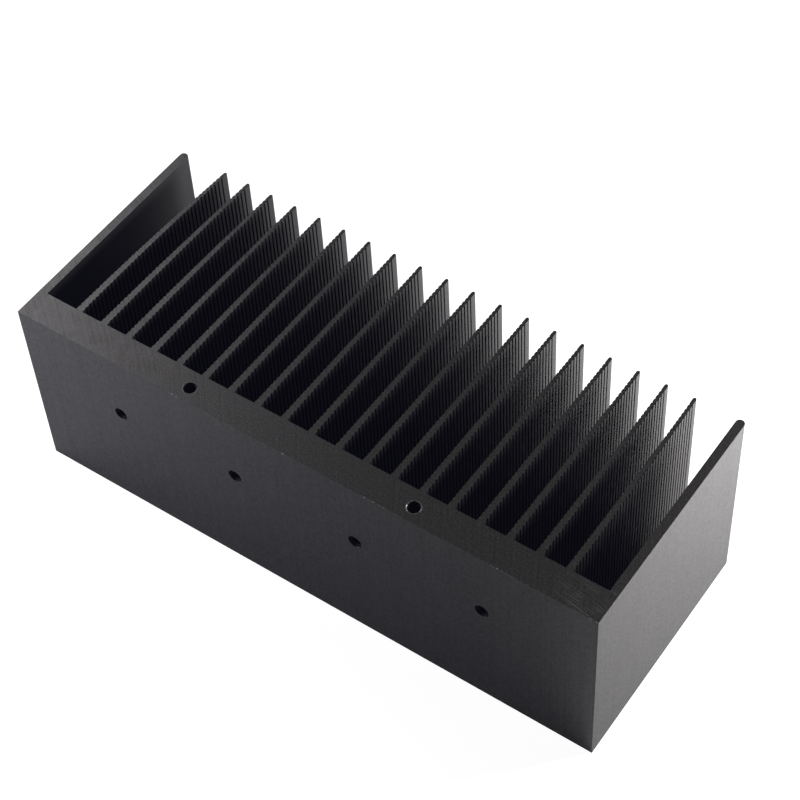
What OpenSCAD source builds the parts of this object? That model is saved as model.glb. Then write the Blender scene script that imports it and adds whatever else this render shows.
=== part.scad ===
// Plate fin heat sink, cut from one aluminium extrusion (millimetres).
// It stands on a sawn end: X runs across the fins, Y from the flat mounting
// face to the fin tips, and Z along the extrusion. The origin is at the middle
// of the footprint, on the lower end.

/* [Extrusion] */
// Width of the whole section, across the fins
section_w = 208; // [150:1:400]
// Depth of the section, from the mounting face to the fin tips
section_d = 82; // [50:1:120]
// Length of extrusion between the two sawn ends
cut_l = 70; // [50:1:300]
// Thickness of the base plate
base_t = 10.6; // [8:0.5:18]
// Thickness of the plain wall at each side
wall_t = 2.9; // [1.5:0.1:6]
// Distance that the saw leaves the thin fins' ends short of the base plate's
saw_step = 0.05; // [0.02:0.01:0.2]

/* [Fins] */
// Distance from one fin to the next
fin_pitch = 9.8; // [8:0.1:16]
// Least distance from a side wall's inner face to the first fin's middle
end_gap = 11; // [8:0.5:20]
// Thickness of a fin at its root, over the ribs
fin_root_t = 2.35; // [1.6:0.05:4]
// Thickness of a fin at its tip
fin_tip_t = 1.15; // [1:0.05:1.6]
// Inward lean of the first fin's tip, which the other fins share less and less
lean_first = 2.1; // [0:0.1:3]
// Inward lean of the last fin's tip
lean_last = 1.1; // [0:0.1:3]

/* [Ribs on the fins] */
// Distance from one rib to the next
rib_pitch = 1.7; // [1.2:0.1:4]
// Width of the V groove between two flat-topped ribs
groove_w = 0.7; // [0.3:0.05:0.9]
// Depth of that groove
rib_h = 0.32; // [0.1:0.02:0.4]
// Plain band at each fin's tip
tip_band = 2.2; // [1:0.1:8]
// Least plain band at each fin's root
root_band = 0.8; // [0.2:0.1:8]

/* [Tapped holes] */
// Diameter of the thread in the mounting face
face_hole_d = 4; // [3:0.5:5]
// Number of holes in the mounting face
face_holes = 4; // [1:1:4]
// Distance from one hole in the mounting face to the next
face_hole_pitch = 44.5; // [12:0.5:46]
// Shift of that row to the right of the section's middle
face_row_shift = -0.9; // [-2:0.1:2]
// Distance of the mounting face's holes below the upper end
face_hole_drop = 25.9; // [20:0.1:40]
// Metal left between those holes' wall and the air channels
face_hole_floor = 2.5; // [1.5:0.1:4]
// Width of the countersink round each hole in the mounting face
face_sink = 0.4; // [0.1:0.05:0.6]
// Diameter of the thread in the upper end
end_hole_d = 4; // [3:0.5:5]
// Distance between the two holes in the upper end
end_hole_pitch = 80.6; // [20:0.2:140]
// Distance of those two holes from the mounting face
end_hole_inset = 4.8; // [3.5:0.1:5]
// Depth of the thread in the upper end
end_hole_depth = 12; // [6:0.5:14]
// Width of the countersink round each hole in the upper end
end_sink = 0.15; // [0.1:0.05:0.5]

/* [Hidden] */
$fn = 48;
tip_steps = 4;
wall_steps = 12;
drill_angle = 118;
over = 1;
fin_root = 1;

fin_h = section_d - base_t;
inner_w = section_w - 2 * wall_t;
fin_count = 1 + floor((inner_w - 2 * end_gap) / fin_pitch);
fin_row = (fin_count - 1) * fin_pitch;
rib_count = floor((fin_h - tip_band - root_band) / rib_pitch);
face_row = (face_holes - 1) * face_hole_pitch;
mount_y = -section_d / 2;
floor_y = mount_y + base_t;
tip_y = section_d / 2;

// Middle of fin i at its root
function fin_x(i) = i * fin_pitch - fin_row / 2;

// How far fin i's tip leans: only the fins near the side walls do it
function fin_lean(i) =
    let (s = fin_row > 0 ? 2 * fin_x(i) / fin_row : 0)
    (s < 0 ? lean_first : lean_last) * -pow(s, 3);

// Middle of fin i at height h above the channel floor
function fin_mid(i, h) = fin_x(i) + fin_lean(i) * pow(max(h, 0) / fin_h, 2);

// Half the fin's thickness over the rib crests, at height h
function fin_half(h) = (fin_root_t + (fin_tip_t - fin_root_t) * h / fin_h) / 2;

// One ribbed face of fin i, root first; side is -1 for its left face and 1 for its right
function fin_face(i, side) =
    let (r = fin_tip_t / 2, first = fin_h - tip_band - rib_count * rib_pitch)
    concat(
        [[fin_x(i) + side * fin_root_t / 2, floor_y - fin_root],
         [fin_x(i) + side * fin_root_t / 2, floor_y]],
        [for (k = [0 : rib_count - 1]) for (edge = [-1 : 1])
            let (h = first + (k + 0.5) * rib_pitch + edge * groove_w / 2)
            [fin_mid(i, h) + side * (fin_half(h) - (edge == 0 ? rib_h : 0)), floor_y + h]],
        [[fin_mid(i, fin_h) + side * r, tip_y - r]]
    );

// Round tip of radius r about the middle x, from its left face to its right
function round_tip(x, r, steps) = [
    for (k = [1 : steps - 1])
        [x - r * cos(180 * k / steps), tip_y - r + r * sin(180 * k / steps)]
];

function reversed(points) = [for (k = [len(points) - 1 : -1 : 0]) points[k]];

// Ribbed, tapered fin, rooted a little way into the base plate
module fin(i) {
    translate([0, 0, saw_step]) linear_extrude(height = cut_l - 2 * saw_step)
        polygon(concat(
            fin_face(i, -1),
            round_tip(fin_mid(i, fin_h), fin_tip_t / 2, tip_steps),
            reversed(fin_face(i, 1))
        ));
}

// Plain side wall with a round tip; side is -1 for the left wall and 1 for the right
function wall_outline(side) =
    let (r = wall_t / 2, x = side * (section_w / 2 - r))
    concat(
        [[x - r, side < 0 ? mount_y : floor_y], [x - r, tip_y - r]],
        round_tip(x, r, wall_steps),
        [[x + r, tip_y - r], [x + r, side < 0 ? floor_y : mount_y]]
    );

// Drilled and countersunk hole of diameter d, with its mouth at z = 0 and its bore below
module tapped_hole(d, depth, sink) {
    point_h = d / 2 / tan(drill_angle / 2);
    translate([0, 0, -depth]) cylinder(h = depth + over, d = d);
    translate([0, 0, -depth - point_h]) cylinder(h = point_h, d1 = 0, d2 = d);
    translate([0, 0, -sink]) cylinder(h = sink, d1 = d, d2 = d + 2 * sink);
}

// Row of holes in the mounting face, for the devices that it cools
module face_tapping() {
    for (i = [0 : face_holes - 1])
        translate([face_row_shift + i * face_hole_pitch - face_row / 2, mount_y,
                   cut_l - face_hole_drop])
            rotate([90, 0, 0]) tapped_hole(face_hole_d, base_t - face_hole_floor, face_sink);
}

// Two holes in the upper end of the base plate, for fixing the heat sink down
module end_tapping() {
    for (side = [-1, 1])
        translate([side * end_hole_pitch / 2, mount_y + end_hole_inset, cut_l])
            tapped_hole(end_hole_d, end_hole_depth, end_sink);
}

module heat_sink() {
    color("#26272a") union() {
        difference() {
            linear_extrude(height = cut_l)
                polygon(concat(wall_outline(-1), wall_outline(1)));
            face_tapping();
            end_tapping();
        }
        for (i = [0 : fin_count - 1]) fin(i);
    }
}

heat_sink();
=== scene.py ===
"""Looks of a black-anodised plate fin heat sink, standing on a sawn end (metres)."""
import math

import bmesh
import bpy
from mathutils import Matrix, Vector


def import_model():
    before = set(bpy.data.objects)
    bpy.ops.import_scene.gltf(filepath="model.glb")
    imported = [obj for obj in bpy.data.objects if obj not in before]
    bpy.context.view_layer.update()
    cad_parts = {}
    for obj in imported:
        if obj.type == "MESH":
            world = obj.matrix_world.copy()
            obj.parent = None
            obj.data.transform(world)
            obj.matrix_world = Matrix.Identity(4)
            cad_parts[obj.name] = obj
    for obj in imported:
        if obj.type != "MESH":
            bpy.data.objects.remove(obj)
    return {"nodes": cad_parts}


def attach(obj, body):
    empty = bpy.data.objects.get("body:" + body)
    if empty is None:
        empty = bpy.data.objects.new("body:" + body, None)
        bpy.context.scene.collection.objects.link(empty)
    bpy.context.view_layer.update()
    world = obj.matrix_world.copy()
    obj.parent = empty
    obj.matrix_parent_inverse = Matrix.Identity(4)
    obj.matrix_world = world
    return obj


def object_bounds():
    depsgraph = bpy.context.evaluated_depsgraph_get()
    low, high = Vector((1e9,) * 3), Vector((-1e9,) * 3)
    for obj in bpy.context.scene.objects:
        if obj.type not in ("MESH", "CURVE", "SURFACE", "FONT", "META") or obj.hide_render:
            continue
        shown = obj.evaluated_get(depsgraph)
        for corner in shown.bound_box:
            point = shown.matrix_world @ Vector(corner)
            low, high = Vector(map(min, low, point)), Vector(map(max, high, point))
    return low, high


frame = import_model()
cad_box = [list(corner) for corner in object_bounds()]

MM = 0.001
low, high = (Vector(corner) for corner in cad_box)

# The section and its holes, repeated from the part's source
BASE_T = 10.6 * MM
FACE_HOLE_X = [(-0.9 + 44.5 * step) * MM for step in (-1.5, -0.5, 0.5, 1.5)]
FACE_HOLE_Z = 44.1 * MM
FACE_HOLE_DEPTH = 8.1 * MM
END_HOLE_X = [-40.3 * MM, 40.3 * MM]
END_HOLE_Y = -36.2 * MM
END_HOLE_DEPTH = 12 * MM
HOLE_D = 4 * MM


# --- Shader maths -----------------------------------------------------------

class Value:
    """A socket of a node tree; arithmetic on it adds Math nodes."""

    def __init__(self, shader, socket):
        self.shader, self.socket = shader, socket

    def _math(self, operation, *values):
        return self.shader.node("ShaderNodeMath", {"operation": operation}, *values)

    def __add__(self, other):
        return self._math("ADD", self, other)

    def __radd__(self, other):
        return self._math("ADD", other, self)

    def __sub__(self, other):
        return self._math("SUBTRACT", self, other)

    def __rsub__(self, other):
        return self._math("SUBTRACT", other, self)

    def __mul__(self, other):
        return self._math("MULTIPLY", self, other)

    def __rmul__(self, other):
        return self._math("MULTIPLY", other, self)

    def __truediv__(self, other):
        return self._math("DIVIDE", self, other)

    def __gt__(self, other):
        return self._math("GREATER_THAN", self, other)

    def __lt__(self, other):
        return self._math("LESS_THAN", self, other)

    def __abs__(self):
        return self._math("ABSOLUTE", self)

    def most(self, other):
        return self._math("MAXIMUM", self, other)

    def ramp(self, start, end):
        """Goes smoothly from 0 to 1 as this value goes from start to end."""
        return self.shader.node("ShaderNodeMapRange",
                                {"interpolation_type": "SMOOTHSTEP"}, self, start, end)


class Shader:
    """A material's node tree, with one method that adds any node."""

    def __init__(self, name):
        self.material = bpy.data.materials.new(name)
        self.material.use_nodes = True
        self.tree = self.material.node_tree
        self.tree.nodes.clear()
        self.output = self.tree.nodes.new("ShaderNodeOutputMaterial")

    def node(self, kind, settings=None, *values, out=0, **named):
        """Adds a node: its settings first, then the values or links of its sockets."""
        node = self.tree.nodes.new(kind)
        for name, setting in (settings or {}).items():
            setattr(node, name, setting)
        usable = [s for s in node.inputs if s.enabled]
        pairs = list(zip(usable, values))
        pairs += [(node.inputs[name.replace("_", " ")], v) for name, v in named.items()]
        for socket, value in pairs:
            if isinstance(value, Value):
                self.tree.links.new(value.socket, socket)
            elif value is not None:
                socket.default_value = value
        live = [s for s in node.outputs if s.enabled]
        return Value(self, node.outputs[out] if isinstance(out, str) else live[out])

    def place(self, kind="Object"):
        return self.node("ShaderNodeTexCoord", out=kind)

    def axes(self, vector):
        return [self.node("ShaderNodeSeparateXYZ", {}, vector, out=i) for i in range(3)]

    def vector(self, x, y, z):
        return self.node("ShaderNodeCombineXYZ", {}, x, y, z)

    def scaled(self, vector, scale):
        return self.node("ShaderNodeVectorMath", {"operation": "MULTIPLY"}, vector, scale)

    def length(self, vector):
        return self.node("ShaderNodeVectorMath", {"operation": "LENGTH"}, vector,
                         out="Value")

    def distance(self, vector, point):
        return self.node("ShaderNodeVectorMath", {"operation": "DISTANCE"}, vector, point,
                         out="Value")

    def noise(self, vector, scale, detail=2.0, roughness=0.5):
        return self.node("ShaderNodeTexNoise", {}, Vector=vector, Scale=scale,
                         Detail=detail, Roughness=roughness)

    def mix(self, factor, first, second):
        """Mixes two colours."""
        return self.node("ShaderNodeMix", {"data_type": "RGBA"}, factor, first, second)

    def choose(self, factor, first, second):
        """Mixes two numbers."""
        return self.node("ShaderNodeMix", {"data_type": "FLOAT"}, factor, first, second)

    def blend(self, factor, first, second):
        """Mixes two shaders."""
        return self.node("ShaderNodeMixShader", {}, factor, first, second)

    def surface(self, shader):
        """Finishes the material; what glows in it is too faint to act as a lamp."""
        self.material.cycles.emission_sampling = "NONE"
        self.tree.links.new(shader.socket, self.output.inputs["Surface"])
        return self.material


def grey(value):
    return (value, value, value, 1.0)


# --- Anodised aluminium -----------------------------------------------------

# Black dye on the extruded faces and the sawn ends, and a darker colour of painted shade on
# the faces in the channels between the fins
FACE_DARK = (0.0098, 0.0104, 0.0140, 1)
FACE_LIGHT = (0.0128, 0.0134, 0.0172, 1)
FACE_STREAK = (0.018, 0.019, 0.023, 1)
CHANNEL_SHADE = (0.0035, 0.0038, 0.0050, 1)
SAWN_DARK = (0.0100, 0.0092, 0.0092, 1)
SAWN_LIGHT = (0.0245, 0.0222, 0.0216, 1)
# Matt near-black: fine marks fade into it, and it is painted shade between the fins and in
# the holes
MATT_AND_SHADE = (0.0030, 0.0033, 0.0045, 1)

# Worn places
SCUFFED = (0.30, 0.29, 0.28, 1)
BARE = (0.62, 0.60, 0.56, 1)

# Faint light that stands in for stray light in the channels and holes
NO_GLOW = (0, 0, 0, 1)
GROOVE_GLOW = (0.0016, 0.0017, 0.0034, 1)
RIB_GLOW = (0.0036, 0.0036, 0.0062, 1)

# Middles of the saw's arcs and of the curved scratches, and where the scratches are
SAW_CENTRE = (-0.224, -0.204, 0.07)
SCRATCH_CENTRE = (0.06, -0.25, 0.07)
SCRATCHED_CORNER = (0.097, -0.0325, 0.07)
SCRATCHED_OUTER, SCRATCHED_INNER = 12 * MM, 5 * MM

# Nicks on the mounting face's upper edge (along X) and the right wall's (along Y):
# the middle and half the length of each, in millimetres
FRONT_NICKS = [(-42.8, 1.9), (-1.2, 3.0), (29.6, 6.0), (72.5, 5.4), (102.4, 1.8)]
WALL_NICKS = [(-33.0, 0.7), (-7.0, 0.8)]
NICK_OUTER, NICK_INNER = 0.15 * MM, 0.05 * MM

# Bare rims of the holes in the upper end: the ring's radius, half its width where it
# ends and where it is full, how far down it goes, its brightest sides in degrees, and
# how bare each hole's is
RIM_R = 2.2 * MM
RIM_OUTER, RIM_INNER = 0.28 * MM, 0.10 * MM
RIM_DEPTH = 0.3 * MM
RIM_SIDES = [218, 8]
RIM_BARE = [0.22, 1.0]

SKIN = 0.03 * MM          # a point deeper than this in the base plate is in a hole
WALL_SKIN = 0.05 * MM     # nearer than this to a side is a wall's outer face
CHANNEL_SKIN = 0.4 * MM   # the channels' floors count from this far below them


def nicked_edge(s, along, off_edge, nicks):
    """Dashes of bare metal on an edge."""
    dashes = 0.0
    for middle, half in nicks:
        off_middle = abs(along - middle * MM)
        dashes = off_middle.ramp(half * MM, 0.7 * half * MM) + dashes
    breaks = s.noise(s.vector(along, 0.4, 5.2), 1000.0, 2.0, 0.6).ramp(0.48, 0.60)
    return dashes * breaks * off_edge.ramp(NICK_OUTER, NICK_INNER) * 0.8


def bare_rim(s, place, x, y, z, hole_x, strength):
    """Chipped ring of bare metal round one of the holes in the upper end."""
    across, up = x - hole_x, y - END_HOLE_Y
    radius = s.length(s.vector(across, up, 0.0))
    sides = []
    for degrees in RIM_SIDES:
        turn = math.radians(degrees)
        towards = (across * math.cos(turn) + up * math.sin(turn)) / radius
        sides.append(towards.ramp(0.80, 0.96))
    chips = s.noise(place, 900.0, 3.0, 0.7).ramp(0.38, 0.52)
    ring = abs(radius - RIM_R).ramp(RIM_OUTER, RIM_INNER)
    level = sides[0].most(sides[1]) * 0.85 + 0.15
    return ring * (z > high.z - RIM_DEPTH) * chips * level * strength


def black_anodised():
    s = Shader("black_anodised")
    place = s.place()
    x, y, z = s.axes(place)
    facing_x, _, facing_z = s.axes(s.place("Normal"))
    sawn = abs(facing_z) > 0.5
    extruded = 1 - sawn
    between = (y > low.y + BASE_T - CHANNEL_SKIN) * (abs(x) < high.x - WALL_SKIN) * extruded
    inside = ((y > low.y + SKIN) * (y < low.y + BASE_T - CHANNEL_SKIN)
              * (z < high.z - SKIN) * (z > SKIN) * (abs(x) < high.x - WALL_SKIN))

    # Extruded faces: streaks that run along the extrusion, and a fine etched grain
    streak = s.noise(s.scaled(place, (2600, 2600, 14)), 1.0, 3.0, 0.55)
    cloud = s.noise(place, 38.0, 3.0, 0.6)
    mottle = s.noise(place, 1600.0, 3.0, 0.65)
    grain = s.noise(place, 5200.0, 2.0, 0.6)
    plain = s.mix(cloud.ramp(0.3, 0.7), FACE_DARK, FACE_LIGHT)
    plain = s.mix(streak.ramp(0.35, 0.75) * 0.35 + mottle.ramp(0.35, 0.75) * 0.35, plain,
                  FACE_STREAK)
    # Painted shade: the faces in the channels between the fins take the darker colour
    plain = s.mix(between, plain, CHANNEL_SHADE)

    # Sawn ends: fine arcs of the saw blade, deepest towards the left, and a few scratches
    wander = s.noise(place, 60.0, 2.0)
    blade = s.distance(place, SAW_CENTRE) + wander * 0.0010
    mark = s.noise(s.vector(blade, z, 0.0), 1100.0, 4.0, 0.7)
    patches = s.noise(place, 160.0, 2.0, 0.6).ramp(0.30, 0.65)
    bite = 0.25 + 0.75 * x.ramp(-10 * MM, -80 * MM) * patches
    cut = s.mix((mark * bite + mottle * (1 - bite)).ramp(0.32, 0.70), SAWN_DARK, SAWN_LIGHT)
    sweep = s.distance(place, SCRATCH_CENTRE) + wander * 0.0006
    scratch = s.noise(s.vector(sweep, 0.3, z), 2600.0, 2.0, 0.6).ramp(0.52, 0.62)
    off_corner = s.distance(place, SCRATCHED_CORNER)
    scratch = scratch * patches * off_corner.ramp(SCRATCHED_OUTER, SCRATCHED_INNER)
    speck = s.noise(place, 1500.0, 1.0, 0.4).ramp(0.76, 0.80)
    cut = s.mix((speck * 0.4).most(scratch * 0.45), cut, SCUFFED)

    # Bare metal on two of the upper edges and round the holes in the upper end
    above = abs(z - high.z)
    bare = nicked_edge(s, x, above.most(abs(y - low.y)), FRONT_NICKS)
    bare = bare.most(nicked_edge(s, y, above.most(abs(x - high.x)), WALL_NICKS))
    for hole_x, strength in zip(END_HOLE_X, RIM_BARE):
        bare = bare.most(bare_rim(s, place, x, y, z, hole_x, strength))

    colour = s.mix(bare, s.mix(sawn, plain, cut), BARE)
    rough = s.choose(sawn, 0.38 + streak * 0.10 + cloud * 0.06 + mottle * 0.06,
                     0.40 + (mark - 0.5) * bite * 0.40 + mottle * 0.10)
    height = s.choose(sawn, streak * 0.4 + mottle * 0.5 + grain * 0.3,
                      mark * bite * 3.0 + mottle * 1.0)
    bump = s.node("ShaderNodeBump", {}, Strength=0.35, Distance=0.05 * MM, Height=height)

    # Painted light: a faint glow lifts the blacks between the fins and in the holes a
    # little, most on the ribs
    glow = s.mix(abs(facing_x).ramp(0.75, 0.95), GROOVE_GLOW, RIB_GLOW)
    glow = s.mix(between.most(inside), NO_GLOW, glow)
    shiny = s.node("ShaderNodeBsdfPrincipled", {}, Base_Color=colour, Roughness=rough,
                   Metallic=bare * 0.8, IOR=1.7, Normal=bump, Emission_Color=glow,
                   Emission_Strength=1.0)
    # Hardly shiny near-black: fine marks fade into it, and it paints shade between the fins
    # and in the holes
    dull_and_shade = s.node("ShaderNodeBsdfPrincipled", {}, Base_Color=MATT_AND_SHADE, Roughness=0.6,
                  IOR=1.06, Normal=bump, Emission_Color=glow, Emission_Strength=1.0)

    # Painted shade: between the fins and in the holes the shine is damped, most of all deep
    # down and at the left. Elsewhere it fades in fine marks
    near_tips = y.ramp(4 * MM, 28 * MM)
    deep = 0.70 - near_tips * (0.12 + 0.24 * x.ramp(-70 * MM, 20 * MM))
    faded = (sawn * bite * mark.ramp(0.62, 0.38) * 0.32 + mottle.ramp(0.65, 0.35) * 0.22
             + extruded * streak.ramp(0.60, 0.40) * 0.08)
    return s.surface(s.blend(faded.most(inside * 0.95).most(between * deep), shiny, dull_and_shade))


# --- Threads ----------------------------------------------------------------

THREAD_PITCH = 0.7 * MM
THREAD_DEPTH = 0.36 * MM
THREAD_ROOT = 0.31 * MM     # half the ridge's width at the wall
THREAD_CREST = 0.05 * MM    # half its width at the crest
THREAD_BITE = 0.05 * MM     # how far it reaches into the wall
TURN_STEPS = 28
FACE_THREAD_START = 0.35 * MM
END_THREAD_START = 0.2 * MM


def added(name, shape, material):
    """Puts a bmesh shape into the scene as an object."""
    mesh = bpy.data.meshes.new(name)
    shape.to_mesh(mesh)
    shape.free()
    obj = bpy.data.objects.new(name, mesh)
    bpy.context.scene.collection.objects.link(obj)
    obj.data.materials.append(material)
    return obj


def thread(name, mouth, inward, depth):
    """Helical ridge of a tapped hole, from its mouth down; inward points into the metal."""
    shape = bmesh.new()
    outer, inner = HOLE_D / 2 + THREAD_BITE, HOLE_D / 2 - THREAD_DEPTH
    ridge = shape.faces.new([shape.verts.new(point) for point in (
        (outer, 0, -THREAD_ROOT), (inner, 0, -THREAD_CREST),
        (inner, 0, THREAD_CREST), (outer, 0, THREAD_ROOT))])
    turns = depth / THREAD_PITCH - 1
    bmesh.ops.spin(shape, geom=[ridge], cent=(0, 0, 0), axis=(0, 0, 1),
                   dvec=(0, 0, THREAD_PITCH / TURN_STEPS), angle=2 * math.pi * turns,
                   steps=round(turns * TURN_STEPS), use_merge=False,
                   use_normal_flip=False, use_duplicate=False)
    bmesh.ops.translate(shape, verts=shape.verts, vec=(0, 0, THREAD_PITCH / 2))
    bmesh.ops.recalc_face_normals(shape, faces=shape.faces)
    turn = Vector((0, 0, 1)).rotation_difference(Vector(inward)).to_matrix().to_4x4()
    bmesh.ops.transform(shape, matrix=Matrix.Translation(mouth) @ turn, verts=shape.verts)
    obj = added(name, shape, finish)
    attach(obj, "root")


# --- Stage ------------------------------------------------------------------

FLOOR_SIZE = 3.0
FLOOR_CARD = 0.85       # grey of the floor that lights the object
FLOOR_SHADED = 0.30     # what the camera sees of the light and shadows on it,
FLOOR_GLOW = 0.93       # and of a glow that makes it nearly white
SKY = (0.060, 0.065, 0.080, 1)

CAMERA_PLACE = (0.2563, -0.3185, 0.5572)
CAMERA_TURN = (38.942, 2.482, 34.649)
CAMERA_LENS, CAMERA_SENSOR = 96.08, 36

LAMPS = [
    # Name, degrees round from the right, degrees above the floor, distance, size,
    # power and colour
    ("back_right_lamp", 40, 18, 0.35, 0.14, 3.15, (1.0, 0.965, 0.94)),
    ("front_left_lamp", 220, 15, 0.45, 0.20, 1.28, (0.965, 0.935, 1.0)),
    ("back_left_lamp", 165, 35, 0.45, 0.20, 0.80, (1.0, 0.965, 0.99)),
]


def studio_floor():
    s = Shader("studio_floor")
    seen = s.node("ShaderNodeLightPath", out="Is Camera Ray")
    card = s.node("ShaderNodeBsdfDiffuse", {}, Color=grey(FLOOR_CARD))
    shaded = s.node("ShaderNodeBsdfDiffuse", {}, Color=grey(FLOOR_SHADED))
    glow = s.node("ShaderNodeEmission", {}, Color=grey(1.0), Strength=FLOOR_GLOW)
    return s.surface(s.blend(seen, card, s.node("ShaderNodeAddShader", {}, shaded, glow)))


def floor():
    shape = bmesh.new()
    bmesh.ops.create_grid(shape, x_segments=1, y_segments=1, size=FLOOR_SIZE)
    obj = added("floor", shape, studio_floor())


def world():
    """White where the camera looks, and faint bluish light on the object."""
    sky = bpy.data.worlds.new("studio")
    bpy.context.scene.world = sky
    sky.use_nodes = True
    tree = sky.node_tree
    path = tree.nodes.new("ShaderNodeLightPath")
    level = tree.nodes.new("ShaderNodeMix")
    level.data_type = "RGBA"
    level.inputs[6].default_value = SKY
    level.inputs[7].default_value = grey(1.0)
    tree.links.new(path.outputs["Is Camera Ray"], level.inputs[0])
    tree.links.new(level.outputs[2], tree.nodes["Background"].inputs["Color"])


def lamp(name, round_from_x, above_floor, distance, size, power, colour):
    """Soft square lamp that faces the origin."""
    light = bpy.data.lights.new(name, "AREA")
    light.shape = "SQUARE"
    light.size = size
    light.energy = power
    light.color = colour
    turn, rise = math.radians(round_from_x), math.radians(above_floor)
    towards = Vector((math.cos(turn) * math.cos(rise), math.sin(turn) * math.cos(rise),
                      math.sin(rise)))
    obj = bpy.data.objects.new(name, light)
    obj.location = towards * distance
    obj.rotation_euler = (-towards).to_track_quat("-Z", "Y").to_euler()
    bpy.context.scene.collection.objects.link(obj)


def camera():
    data = bpy.data.cameras.new("camera")
    data.lens, data.sensor_width = CAMERA_LENS, CAMERA_SENSOR
    obj = bpy.data.objects.new("camera", data)
    obj.location = CAMERA_PLACE
    obj.rotation_euler = [math.radians(a) for a in CAMERA_TURN]
    bpy.context.scene.collection.objects.link(obj)
    bpy.context.scene.camera = obj


# --- The scene --------------------------------------------------------------

camera()
world()
floor()
for settings in LAMPS:
    lamp(*settings)
bpy.context.scene.view_settings.view_transform = "Standard"

heat_sink = frame["nodes"]["heat_sink"]
finish = black_anodised()
for slot in heat_sink.material_slots:
    slot.material = finish

for number, x in enumerate(FACE_HOLE_X, 1):
    thread(f"face_thread_{number}", (x, low.y + FACE_THREAD_START, FACE_HOLE_Z), (0, 1, 0),
           FACE_HOLE_DEPTH - FACE_THREAD_START)
for number, x in enumerate(END_HOLE_X, 1):
    thread(f"end_thread_{number}", (x, END_HOLE_Y, high.z - END_THREAD_START), (0, 0, -1),
           END_HOLE_DEPTH - END_THREAD_START)
